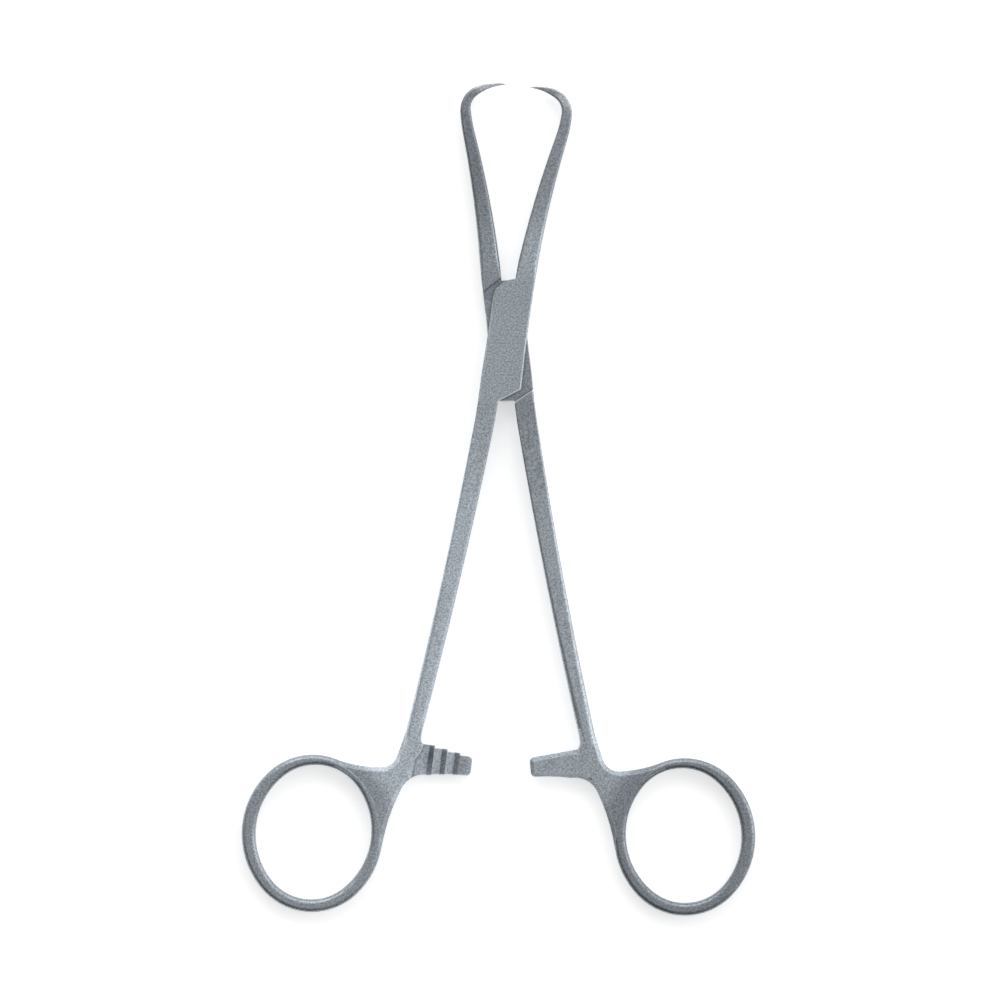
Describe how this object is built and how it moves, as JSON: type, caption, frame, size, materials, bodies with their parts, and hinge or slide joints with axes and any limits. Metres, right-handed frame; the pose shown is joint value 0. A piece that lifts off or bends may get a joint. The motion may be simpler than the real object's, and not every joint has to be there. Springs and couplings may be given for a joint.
{
  "type": "perforating forceps",
  "caption": "Ring-handled bone forceps with a box lock, slim shanks, a ratchet between the finger rings and jaws that hook inward to sharp points.",
  "frame": {"origin": "on the axis of the box lock's pin, in the plane of the back face of the box lock", "axes": "+X to the right in the picture, +Y from the pin towards the jaws, along the forceps, +Z out of the front face, towards the viewer of the picture, along the pin"},
  "size_m": [0.1111, 0.18, 0.0054],
  "materials": {
    "steel": "satin"
  },
  "bodies": {
    "female": {"female_half": "steel", "lock_pin": "steel"},
    "male": {"male_half": "steel"}
  },
  "joints": [
    {"name": "box_lock", "type": "hinge", "parent": "female", "child": "male", "pos_m": [0, 0, 0.0027], "axis": [0, 0, 1], "range_deg": [-6.5, 35]}
  ]
}
